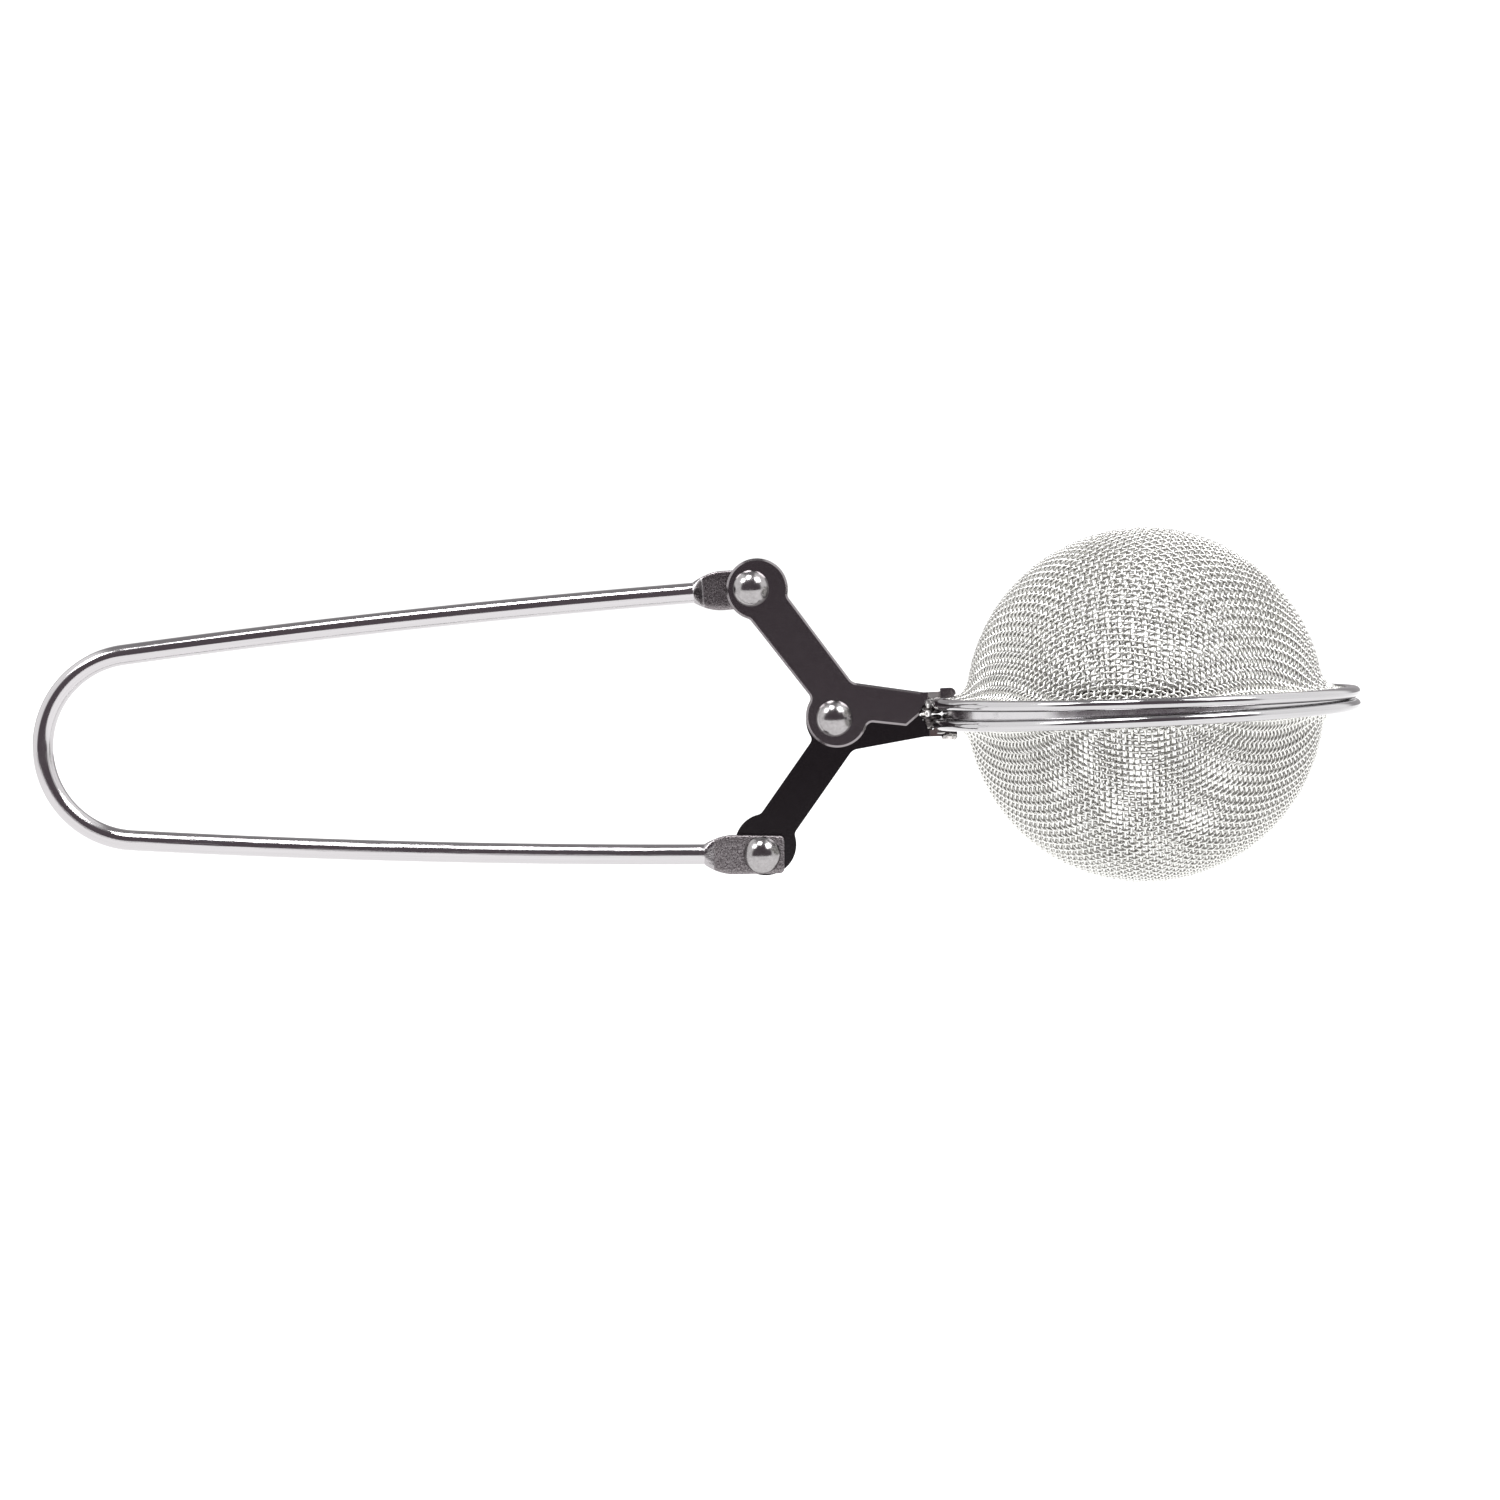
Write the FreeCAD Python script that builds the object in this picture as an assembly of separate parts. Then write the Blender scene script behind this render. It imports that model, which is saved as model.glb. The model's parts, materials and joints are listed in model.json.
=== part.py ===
import FreeCAD, Part
import math
import os

from FreeCAD import Vector

# Tea infuser: a mesh ball split into two jaws, worked like tongs by a sprung wire handle.
# Millimetres. The origin is the centre of the handle's rear bend, +X runs towards the ball,
# +Y is the rivets' axis (away from the viewer) and +Z is up. The ball is closed.
# The lower half is the upper half turned over about the X axis, except that the rear plate's
# lever has an outline of its own and the upper band's lip reaches down to the lower band's.

# Handle: one round rod, bent to a U and pressed flat at both ends
rod_r = 1.2
bend_r = 10.9                # centreline of the rear bend
flexure_ball_r = 1.8         # ball seat that stands for the rod's flexing at each end of the bend
seat_gap = 0.05

# Linkage: two crossed plates on a centre pivot, riveted to the handle's ends
pivot_x = 81.6
rear_rivet_dx = -9.06        # rear rivets from the centre pivot
rear_rivet_z = 15.55
plate_t = 0.95
layer_gap = 0.1              # between the front and the rear layer
layer_inner = layer_gap / 2
layer_outer = layer_inner + plate_t

# Pressed end of an arm, measured along the rod from its rivet
arm_end_slope = 2.15         # degrees
press_root = -6.75
press_length = 3.5           # from round to flat
press_steps = 8
press_section_points = 32
press_step = 0.01           # the dies leave this small a step on the rod
press_squareness = 6
press_tip = 2.6
press_half_w = 2.3
tip_half_w = 2.2
tip_corner_r = 0.5

# Rivets
shank_r = 1.0
running_gap = 0.05
head_r = 2.15
head_gap = 0.03
front_head_h = 1.3
rear_head_h = 0.9
open_hole_r = 2.05           # clearance hole of the one pivot where the linkage is open

# Link plate outlines, (x, z) from the centre pivot. The rear plate's is given as the front
# plate's is, and turned over with it: its lever is narrower, steeper and drilled nearer its end.
nose_corners = [
    (10.85, 2.55), (11.04, 2.30), (10.82, 1.35), (10.02, 0.08), (8.40, -1.22), (3.40, -0.48),
]
front_lever = {
    "far_corners": [(-9.60, 12.30), (-5.30, 15.07)],
    "elbow": (2.30, 4.10),
    "inner_corner": (-2.50, 2.44),
    "rear_lobe": (-8.36, 15.43),
    "rear_necks": [(-9.37, 11.98), (-4.91, 14.51)],
}
rear_lever = {
    "far_corners": [(-9.23, 11.15), (-5.30, 13.41)],
    "elbow": (2.02, 3.80),
    "inner_corner": (-2.50, 2.30),
    "rear_lobe": (-8.60, 14.45),
    "rear_necks": [(-9.04, 10.88), (-5.09, 13.13)],
}
centre_necks = [(-2.65, 2.55), (3.95, -0.48)]
rear_lobe_r = 3.6
centre_lobe_dx = 0.35
centre_lobe_z = 0.22
centre_lobe_r = 3.63
lobe_fillet_r = 0.8
elbow_fillet_r = 1.3
neck_reach = 0.9             # a neck's edge lies this near the place given for it
edge_bevel = 0.25

# Tab of a plate, joggled to the middle plane and welded on top of its ring
tab_root_x = 10.2
joggle_start_x = 11.0
joggle_end_x = 12.5
tab_tip_x = 14.3
tab_low_z = 1.83
tab_neck_top_z = 2.6
tab_lug_top_z = 3.0
lug_heel_r = 0.2
lug_toe_r = 0.6

# Ball: ring, rim band and mesh bowl of one jaw, drawn about Z with the ring's wire at z = 0
ring_dx = 36.3               # ring centre from the centre pivot
ring_z = 0.945
jaw_gape = 0.515             # degrees that each ring leans away from the other at the linkage
ring_r = 24.35
ring_wire_r = 0.65
bowl_r = 20.6
bowl_centre_z = -1.045
bowl_t = 0.3
brim_top_z = 2.6             # where the bowl starts to flare
brim_r = 23.2
brim_z = 0.3
band_out_r = 23.66
band_in_r = 23.26
band_top_z = 0.62
band_foot_r = 22.6
band_foot_top_z = 0.1
band_foot_low_z = -0.2
upper_lip_z = -2.0           # the upper band's lip before it is cut along the lower band's
lower_lip_z = -0.3
lip_gap = 0.15
tab_brim_gap = 0.06

# Weld beads at a ring's joint with its plate
nose_bead_r = 0.7
nose_bead_x = 11.05
nose_bead_z = 0.85
nose_bead_y = -0.8           # sunk a little into the plate's face
tab_bead_r = 0.42
tab_bead_x = 12.0
tab_bead_y = 0.62
tab_bead_z = 1.9

same_place = 1e-6            # points nearer to each other than this are one point

ORIGIN = Vector(0, 0, 0)
X_AXIS = Vector(1, 0, 0)
Y_AXIS = Vector(0, 1, 0)
Z_AXIS = Vector(0, 0, 1)


def at(x, z, y=0.0):
    """A point given across the linkage plane first."""
    return Vector(x, y, z)


def from_pivot(x, z, y=0.0):
    """A point given from the centre pivot."""
    return Vector(pivot_x + x, y, z)


def turned_over(shape):
    """The same piece for the lower half."""
    copy = shape.copy()
    copy.rotate(ORIGIN, X_AXIS, 180)
    return copy


def along_y(radius, point, y_low, y_high):
    """A cylinder parallel to the rivets."""
    return Part.makeCylinder(radius, y_high - y_low, Vector(point.x, y_low, point.z), Y_AXIS)


def prism(face_wire, y_low, y_high):
    """An outline drawn at y = 0, made solid between two heights along Y."""
    face = Part.Face(face_wire)
    face.translate(Vector(0, y_low, 0))
    return face.extrude(Vector(0, y_high - y_low, 0))


def rear_rivet_point():
    return from_pivot(rear_rivet_dx, rear_rivet_z)


# Handle ---------------------------------------------------------------------------------------

def arm_direction():
    slope = math.radians(arm_end_slope)
    return Vector(math.cos(slope), 0, math.sin(slope))


def press_root_point():
    return rear_rivet_point() + arm_direction() * press_root


def arm_arc():
    """Centre and radius of the arm's long bow, which meets the rear bend and the pressed end
    without a kink."""
    end = press_root_point()
    direction = arm_direction()
    inward = Vector(direction.z, 0, -direction.x)
    radius = (end.dot(end) - bend_r ** 2) / (-2 * (end.dot(inward) + bend_r))
    return end + inward * radius, radius


def flexure_point():
    """Where the rear bend runs into the upper arm."""
    centre, _ = arm_arc()
    return centre * (-bend_r / centre.Length)


def rod_section(point, direction):
    return Part.Face(Part.Wire(Part.makeCircle(rod_r, point, direction)))


def bowed_rod():
    """The upper arm's rod from the rear bend to its pressed end."""
    centre, _ = arm_arc()
    start = flexure_point() - centre
    end = press_root_point() - centre
    turn = math.degrees(start.getAngle(end))
    tangent = Vector(start.z, 0, -start.x)
    return rod_section(flexure_point(), tangent).revolve(centre, Y_AXIS, turn)


def press_section(along, half_w, half_t, shift, squareness):
    """One closed curve across the pressed end: a circle at squareness 2, boxier above it."""
    direction = arm_direction()
    across = Vector(-direction.z, 0, direction.x)
    middle = rear_rivet_point() + direction * along + Y_AXIS * shift
    points = []
    for step in range(press_section_points):
        angle = 2 * math.pi * step / press_section_points
        cos_a = math.cos(angle)
        sin_a = math.sin(angle)
        width = math.copysign(abs(cos_a) ** (2 / squareness), cos_a) * half_w
        depth = math.copysign(abs(sin_a) ** (2 / squareness), sin_a) * half_t
        points.append(middle + across * width + Y_AXIS * depth)
    curve = Part.BSplineCurve()
    curve.interpolate(Points=points, PeriodicFlag=True)
    return Part.Wire(curve.toShape())


def pressed_end():
    """The rod's end, pressed from round to flat in the rear layer, with its rivet hole."""
    flat_y = layer_inner + plate_t / 2
    flat = plate_t / 2
    start_r = rod_r - press_step
    sections = [press_section(press_root - rod_r, start_r, start_r, 0.0, 2)]
    for step in range(press_steps + 1):
        share = step / press_steps
        spread = 1 - (1 - share) ** 2
        squash = share * share * (3 - 2 * share)
        sections.append(press_section(
            press_root + press_length * share,
            start_r + (press_half_w - start_r) * spread,
            start_r + (flat - start_r) * squash,
            flat_y * squash,
            2 + (press_squareness - 2) * share ** 2))
    sections.append(press_section(press_tip, tip_half_w, flat, flat_y, press_squareness))
    blank = Part.makeLoft(sections, True, True)
    reach = press_tip - press_root + 2 * rod_r
    trim = Part.makeBox(reach, 4 * rod_r, 4 * rod_r, Vector(-reach, -2 * rod_r, -2 * rod_r))
    trim.translate(Vector(press_tip, 0, 0))
    corners = [edge for edge in trim.Edges if is_tip_corner(edge)]
    trim = trim.makeFillet(tip_corner_r + 2 * rod_r - tip_half_w, corners)
    trim.rotate(ORIGIN, Y_AXIS, -arm_end_slope)
    trim.translate(rear_rivet_point())
    hole = along_y(shank_r + running_gap, rear_rivet_point(), -2 * rod_r, 2 * rod_r)
    return blank.common(trim).cut(hole)


def is_tip_corner(edge):
    """An edge along Y at the far end of the trimming block."""
    first, last = edge.Vertexes[0].Point, edge.Vertexes[-1].Point
    return abs(first.x - press_tip) < same_place and abs(last.x - press_tip) < same_place \
        and abs(first.y - last.y) > rod_r


def handle_bend():
    """The U at the back, with a ball-ended stub at each arm."""
    point = flexure_point()
    centre, _ = arm_arc()
    spread = 360 - 2 * math.degrees(math.atan2(point.z, point.x))
    tangent = Vector(point.z, 0, -point.x)
    bend = rod_section(point, tangent).revolve(ORIGIN, Y_AXIS, -spread)
    stub = bowed_rod().common(Part.makeSphere(flexure_ball_r, point))
    return bend.fuse([stub, turned_over(stub)]).removeSplitter()


def upper_arm():
    seat = Part.makeSphere(flexure_ball_r + seat_gap, flexure_point())
    return bowed_rod().cut(seat).fuse(pressed_end()).removeSplitter()


# Linkage --------------------------------------------------------------------------------------

def lever_blank(lever):
    """Lever and front arm of a plate, straight-sided, before its round lobes."""
    outline = lever["far_corners"] + [lever["elbow"]] + nose_corners + [lever["inner_corner"]]
    corners = [from_pivot(x, z) for x, z in outline]
    return Part.makePolygon(corners + corners[:1])


def near_line(edge, dx, dz):
    """True for an edge through the plate that stands at a place given from the pivot."""
    first, last = edge.Vertexes[0].Point, edge.Vertexes[-1].Point
    upright = abs(first.x - last.x) < same_place and abs(first.z - last.z) < same_place
    place = from_pivot(dx, dz)
    return upright and math.hypot(first.x - place.x, first.z - place.z) < neck_reach


def plate_blank(lever):
    """A plate's stamping with rounded necks, before its holes."""
    rear_lobe = along_y(rear_lobe_r, from_pivot(*lever["rear_lobe"]), -layer_outer, -layer_inner)
    centre_lobe = along_y(centre_lobe_r, from_pivot(centre_lobe_dx, centre_lobe_z),
                          -layer_outer, -layer_inner)
    blank = prism(lever_blank(lever), -layer_outer, -layer_inner)
    blank = blank.fuse([rear_lobe, centre_lobe]).removeSplitter()
    for dx, dz in lever["rear_necks"] + centre_necks:
        edges = [edge for edge in blank.Edges if near_line(edge, dx, dz)]
        blank = blank.makeFillet(lobe_fillet_r, edges)
    elbow = [edge for edge in blank.Edges if near_line(edge, *lever["elbow"])]
    return blank.makeFillet(elbow_fillet_r, elbow)


def bevelled(plate):
    """Break the sharp edges of the outward face, as stamping and tumbling do."""
    rim = [edge for edge in plate.Edges
           if all(abs(vertex.Y + layer_outer) < same_place for vertex in edge.Vertexes)]
    return plate.makeChamfer(edge_bevel, rim)


def is_lug_corner(edge, x):
    """An edge along Y on top of the tab's lug, at a distance from the pivot."""
    ends = [vertex.Point for vertex in edge.Vertexes]
    on_top = all(abs(end.z - tab_lug_top_z) < same_place for end in ends)
    return on_top and all(abs(end.x - pivot_x - x) < same_place for end in ends)


def tab():
    """The strip that runs on from the plate's nose, over the ring, to a rounded lug."""
    half = plate_t / 2
    plan = [
        (tab_root_x, -layer_outer), (joggle_start_x, -layer_outer), (joggle_end_x, -half),
        (tab_tip_x, -half), (tab_tip_x, half), (joggle_end_x, half),
        (joggle_start_x, -layer_inner), (tab_root_x, -layer_inner),
    ]
    points = [from_pivot(x, 0, y) for x, y in plan]
    strip = Part.Face(Part.makePolygon(points + points[:1]))
    strip.translate(Vector(0, 0, tab_low_z))
    strip = strip.extrude(Vector(0, 0, tab_lug_top_z - tab_low_z))
    notch = Part.makeBox(joggle_end_x - tab_root_x, 2 * layer_outer, tab_lug_top_z - tab_neck_top_z,
                         from_pivot(tab_root_x, tab_neck_top_z, -layer_outer))
    strip = strip.cut(notch)
    for x, radius in ((joggle_end_x, lug_heel_r), (tab_tip_x, lug_toe_r)):
        corner = [edge for edge in strip.Edges if is_lug_corner(edge, x)]
        strip = strip.makeFillet(radius, corner)
    return strip.cut(in_upper_jaw(bowl_envelope(tab_brim_gap)))


def link_plate(lever, rear_hole_r):
    """A plate in the front layer: lever, lobes, front arm and tab, with its two rivet holes."""
    plate = bevelled(plate_blank(lever))
    plate = plate.cut(along_y(rear_hole_r, rear_rivet_point(), -layer_outer, -layer_inner))
    plate = plate.cut(along_y(shank_r + running_gap, from_pivot(0, 0), -layer_outer, -layer_inner))
    return plate.fuse(tab()).removeSplitter()


def dome_head(point, seat_y, height):
    """Domed rivet head standing on the plane y = seat_y, outward to the sign of height."""
    rise = abs(height)
    side = height / rise
    ball_r = (head_r ** 2 + rise ** 2) / (2 * rise)
    middle_y = seat_y + side * (rise - ball_r)
    ball = Part.makeSphere(ball_r, Vector(point.x, middle_y, point.z))
    outward = (seat_y, seat_y + height)
    return ball.common(along_y(2 * head_r, point, min(outward), max(outward)))


def rivet(point):
    seat = layer_outer + head_gap
    shank = along_y(shank_r, point, -seat, seat)
    front = dome_head(point, -seat, -front_head_h)
    rear = dome_head(point, seat, rear_head_h)
    return shank.fuse([front, rear]).removeSplitter()


# Ball -----------------------------------------------------------------------------------------

def in_upper_jaw(shape):
    """Move a piece drawn about Z to its place in the upper jaw."""
    placed = shape.copy()
    placed.rotate(ORIGIN, Y_AXIS, jaw_gape)
    placed.translate(from_pivot(ring_dx, ring_z))
    return placed


def ring():
    return Part.makeTorus(ring_r, ring_wire_r)


def brim_geometry():
    """Start of the flare on the bowl, and the flare arc's centre, radius and end angle."""
    rise = brim_top_z - bowl_centre_z
    start = at(math.sqrt(bowl_r ** 2 - rise ** 2), brim_top_z)
    outward = (start - at(0, bowl_centre_z)).normalize()
    end = at(brim_r, brim_z)
    chord = end - start
    flare_r = chord.dot(chord) / (2 * chord.dot(outward))
    return start, outward, start + outward * flare_r, flare_r, end


def bowl_curve(offset):
    """Arcs of the bowl's half section, apex to brim, moved outward by an offset."""
    _, outward, flare_centre, flare_r, end = brim_geometry()
    centre = at(0, bowl_centre_z)
    radius = bowl_r + offset
    apex = at(0, bowl_centre_z + radius)
    joint = centre + outward * radius
    half_way = (at(0, 1) + outward).normalize()
    dome = Part.Arc(apex, centre + half_way * radius, joint)
    flare = flare_r - offset
    to_end = (end - flare_centre).normalize()
    middle = (to_end - outward).normalize()
    brim_end = flare_centre + to_end * flare
    brim = Part.Arc(joint, flare_centre + middle * flare, brim_end)
    return [dome.toShape(), brim.toShape()], apex, brim_end


def mesh_bowl():
    """The woven bowl as one thin closed skin of the same outline."""
    outer, outer_apex, outer_end = bowl_curve(bowl_t / 2)
    inner, inner_apex, inner_end = bowl_curve(-bowl_t / 2)
    edges = outer + [Part.makeLine(outer_end, inner_end)] + inner
    edges.append(Part.makeLine(inner_apex, outer_apex))
    section = Part.Face(Part.Wire(Part.__sortEdges__(edges)))
    return section.revolve(ORIGIN, Z_AXIS, 360)


def bowl_envelope(gap):
    """Everything inside the bowl's outer skin and a gap around it."""
    outer, apex, end = bowl_curve(bowl_t / 2 + gap)
    foot = at(0, end.z)
    edges = outer + [Part.makeLine(end, foot), Part.makeLine(foot, apex)]
    section = Part.Face(Part.Wire(Part.__sortEdges__(edges)))
    return section.revolve(ORIGIN, Z_AXIS, 360)


def rim_band(lip_z):
    """The strip inside the ring that grips the brim: a wall and an inward foot."""
    corners = [
        at(band_in_r, band_top_z), at(band_out_r, band_top_z), at(band_out_r, lip_z),
        at(band_in_r, lip_z), at(band_in_r, band_foot_low_z), at(band_foot_r, band_foot_low_z),
        at(band_foot_r, band_foot_top_z), at(band_in_r, band_foot_top_z),
    ]
    section = Part.Face(Part.makePolygon(corners + corners[:1]))
    return section.revolve(ORIGIN, Z_AXIS, 360)


def lower_jaw_side():
    """Everything from a gap above the lower band's lip downward, as wide as the ball."""
    reach = 2 * ring_r
    side = Part.makeBox(2 * reach, 2 * reach, reach, Vector(-reach, -reach, lower_lip_z - lip_gap))
    return turned_over(in_upper_jaw(side))


def upper_rim_band():
    """The band whose lip closes the wedge between the rings."""
    return in_upper_jaw(rim_band(upper_lip_z)).cut(lower_jaw_side())


def welds(plate, hoop, band):
    """Three beads that join the upper ring to the front plate's nose and tab."""
    nose = Part.makeSphere(nose_bead_r, from_pivot(nose_bead_x, nose_bead_z, nose_bead_y))
    sides = [Part.makeSphere(tab_bead_r, from_pivot(tab_bead_x, tab_bead_z, y))
             for y in (-tab_bead_y, tab_bead_y)]
    beads = []
    for bead in [nose] + sides:
        trimmed = bead.cut(plate).cut(hoop).cut(band)
        beads.append(max(trimmed.Solids, key=lambda solid: solid.Volume))
    return Part.makeCompound(beads)


def build():
    """All pieces by name."""
    front_plate = link_plate(front_lever, shank_r + running_gap)
    upper_ring = in_upper_jaw(ring())
    upper_band = upper_rim_band()
    upper_bowl = in_upper_jaw(mesh_bowl())
    upper_welds = welds(front_plate, upper_ring, upper_band)
    arm = upper_arm()
    rear_rivet = rivet(rear_rivet_point())
    return {
        "handle_bend": handle_bend(),
        "upper_arm": arm,
        "lower_arm": turned_over(arm),
        "front_link_plate": front_plate,
        "rear_link_plate": turned_over(link_plate(rear_lever, open_hole_r)),
        "centre_rivet": rivet(from_pivot(0, 0)),
        "upper_rivet": rear_rivet,
        "lower_rivet": rivet(from_pivot(rear_rivet_dx, -rear_rivet_z)),
        "upper_ring": upper_ring,
        "lower_ring": turned_over(upper_ring),
        "upper_rim_band": upper_band,
        "lower_rim_band": turned_over(in_upper_jaw(rim_band(lower_lip_z))),
        "upper_mesh_bowl": upper_bowl,
        "lower_mesh_bowl": turned_over(upper_bowl),
        "upper_weld": upper_welds,
        "lower_weld": turned_over(upper_welds),
    }


def main():
    os.makedirs("parts", exist_ok=True)
    for name, shape in build().items():
        shape.exportStep(f"parts/{name}.step")
        box = shape.BoundBox
        print(f"{name:18s} valid={shape.isValid()} solids={len(shape.Solids)} "
              f"volume={shape.Volume:8.1f}  x {box.XMin:7.2f} {box.XMax:7.2f}  "
              f"y {box.YMin:6.2f} {box.YMax:6.2f}  z {box.ZMin:6.2f} {box.ZMax:6.2f}")


main()
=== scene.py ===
import json
import math

import bmesh
import bpy
import numpy as np
from mathutils import Matrix, Vector


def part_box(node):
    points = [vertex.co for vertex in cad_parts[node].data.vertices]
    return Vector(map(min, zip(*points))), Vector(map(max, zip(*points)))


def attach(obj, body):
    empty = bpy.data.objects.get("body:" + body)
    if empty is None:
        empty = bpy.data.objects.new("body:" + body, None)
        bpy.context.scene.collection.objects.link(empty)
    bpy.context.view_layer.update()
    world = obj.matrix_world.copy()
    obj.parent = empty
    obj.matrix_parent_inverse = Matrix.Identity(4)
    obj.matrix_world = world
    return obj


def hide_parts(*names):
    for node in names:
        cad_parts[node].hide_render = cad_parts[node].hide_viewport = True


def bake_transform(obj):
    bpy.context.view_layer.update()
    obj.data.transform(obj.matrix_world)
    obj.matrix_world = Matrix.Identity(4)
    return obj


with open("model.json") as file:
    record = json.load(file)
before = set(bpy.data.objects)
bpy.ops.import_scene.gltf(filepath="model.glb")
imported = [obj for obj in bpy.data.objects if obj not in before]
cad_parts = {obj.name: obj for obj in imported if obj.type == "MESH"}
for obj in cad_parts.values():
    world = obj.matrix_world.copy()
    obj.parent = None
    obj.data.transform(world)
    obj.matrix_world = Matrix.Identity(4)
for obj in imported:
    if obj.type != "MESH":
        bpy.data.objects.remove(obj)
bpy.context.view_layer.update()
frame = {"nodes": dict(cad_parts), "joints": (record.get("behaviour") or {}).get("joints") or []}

# The looks of a squeeze-handle tea infuser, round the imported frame. Shapes are drawn in
# millimetres in the frame's axes and handed to Blender in metres. The lower half is the upper half
# turned over about the X axis, but for the rear plate, the bands' lips, the rings' seams, the
# weave's turn, the welds and the press marks.
MM = 0.001

# Handle rod
ROD_R = 1.2
BEND_R = 10.9
ARM_END_SLOPE = math.radians(2.15)
PRESS_ROOT = -6.75  # where the pressed end starts, along the rod from its rivet
PRESS_LENGTH = 3.5
FACET_LENGTH = 1.15  # from the round rod to the crease where the flat begins
PRESS_TIP = 2.6
PRESS_HALF_W = 2.3
TIP_HALF_W = 2.2
TIP_CORNER_R = 0.55
PRESS_SQUARENESS = 6
PLATE_T = 0.95
LAYER_INNER = 0.05  # half the gap between the front and the rear layer
ROD_SIDES = 96
BEND_STEP = 0.35  # between stations of the bend, the bow and the pressed end
BOW_STEP = 0.7
FLAT_STEP = 0.06
FACET_MARK = 0.45  # the attribute "pressed" on the facet
PEBBLE_CELL = 0.17  # relief of the pressed ends
FINE_PEBBLE_CELL = 0.09
FINE_PEBBLE_SHARE = 0.7
RIDGE_CELL = 0.13
RIDGE_STRETCH = 0.25
RIDGE_FAN = 0.5
RIDGE_DEPTH = 0.022
CREASE_DEPTH = 0.05
CREASE_HALF_W = 0.09
UPPER_PEBBLE_DEPTH = 0.008
LOWER_PEBBLE_DEPTH = 0.035
DRILL_REACH = 3.0
DRILL_SIDES = 48

# Rivets
SHANK_R = 1.0
HOLE_R = 1.05
HEAD_R = 2.15
HEAD_SEAT_Y = 1.03
FRONT_HEAD_H = 1.3
REAR_HEAD_H = 0.9
HEAD_RIM = ((-0.09, 0.0), (-0.02, 0.015), (0.0, 0.045))  # (out from HEAD_R, rise)
DOME_STEPS = 26
RIVET_SIDES = 72

# Ball, drawn about Z with the ring's wire at z = 0
RING_WIRE_R = 0.65
RING_SEGMENTS = 540
RING_SIDES = 28
UPPER_SEAM = math.radians(200)
LOWER_SEAM = math.radians(145)
SEAM_SWELL = 0.035
SEAM_SWELL_LENGTH = 0.5
SEAM_NOTCH = 0.03
SEAM_NOTCH_LENGTH = 0.12
JAW_GAPE = math.radians(0.515)
BOWL_R = 20.6
BOWL_CENTRE_Z = -1.045
BRIM_TOP_Z = 2.6
BRIM_R = 23.2
BRIM_Z = 0.3
BAND_OUT_R = 23.66
BAND_IN_R = 23.26
BAND_TOP_Z = 0.62
BAND_FOOT_R = 22.6
BAND_FOOT_TOP_Z = 0.1
BAND_FOOT_LOW_Z = -0.2
LOWER_LIP_Z = -0.3
LIP_GAP = 0.15  # between the two bands' lips
LIP_R = 0.1
BAND_SEGMENTS = 480

# Wire cloth
PITCH = 0.75
WIRE_R = 0.13
WIRE_SIDES = 6
STEPS_PER_PITCH = 4
UPPER_WEAVE_TURN = math.radians(-15)
LOWER_WEAVE_TURN = math.radians(8)
CELL_JITTER = 0.012
NET_REACH = 1.75  # down a meridian from the apex, in bowl radii
SOLVER_STEPS = 12
LONGEST_STEP = 0.3  # in pitches
MOST_OFF_BOWL = 0.01  # a crossing further off the bowl is dropped
LEAST_CELL = 0.2  # and so is one nearer the cell's far corner, in pitches

# Welds
CRATER_WIDTH = 0.38

# Colours of the metals
ROD_COLOUR = (0.50, 0.485, 0.495)
PRESSED_DARK = (0.095, 0.082, 0.087)
PRESSED_LIGHT = (0.38, 0.355, 0.365)
PLATE_COLOUR = (0.238, 0.220, 0.228)
PLATE_DARK = (0.195, 0.178, 0.186)
PLATE_BRIGHT = (0.35, 0.33, 0.34)
PLATE_BURNT = (0.30, 0.285, 0.285)
# Painted shade: the rear plate is the front plate's steel with darkened colours, for the plate that
# stands in shadow behind the front one.
REAR_SHADED_PLATE_COLOUR = (0.062, 0.057, 0.061)
REAR_SHADED_PLATE_DARK = (0.049, 0.044, 0.047)
REAR_SHADED_PLATE_BRIGHT = (0.14, 0.13, 0.136)
REAR_SHADED_PLATE_BURNT = (0.15, 0.105, 0.10)
NECK_START_X = 11.1  # the burnt neck, from the centre pivot
NECK_END_X = 12.35
NECK_SOFT = 0.12
LUG_HEAT = 0.3
SCRATCH_TURNS = (0.6, -0.35, 1.3)
RIVET_COLOUR = (0.35, 0.338, 0.341)
RIVET_DARK = (0.27, 0.257, 0.26)
CLOTH_COLOUR = (0.78, 0.78, 0.757)
CLOTH_WARM = (0.75, 0.748, 0.72)
CLOTH_DARK = (0.62, 0.616, 0.598)
# Painted shade on the side of each wire that faces into the bowl.
CLOTH_SHADE = (0.40, 0.39, 0.37)
WELD_COLOUR = (0.88, 0.87, 0.86)
WELD_TINT = (0.62, 0.58, 0.55)
SCALE_DARK = (0.05, 0.045, 0.045)
SCALE_LIGHT = (0.17, 0.155, 0.155)
RING_COLOUR = (0.50, 0.492, 0.50)
BAND_COLOUR = (0.54, 0.53, 0.54)
# Painted shade on the bands' inner wall, which stands in the bowl's shadow: two dark tones mixed in
# blotches.
BAND_SHADE = (0.13, 0.115, 0.108)
BAND_DEEP_SHADE = (0.09, 0.08, 0.075)

# Studio
FLOOR_Z = -0.1
FLOOR_R = 6.0
FLOOR_FRONT = 0.57
FLOOR_GLOW = 1.06
WALLS = (1.4, 1.4, 1.4)
CEILING = (0.38, 0.37, 0.38)
CEILING_FROM_Z = (0.5, 0.72)
CEILING_LEFT_X = (-0.50, -0.34)
CEILING_RIGHT_X = (0.38, 0.22)
DARK_SIDE = (0.146, 0.122, 0.138)
DARK_SIDE_Y = (-0.46, -0.62)
DARK_SIDE_Z = (-0.5, -0.4)
BACK = (0.45, 0.435, 0.445)
BACK_Y = (0.62, 0.80)
BACK_Z = (0.75, 0.55)
SEEN_WHITE = 1.1

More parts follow.
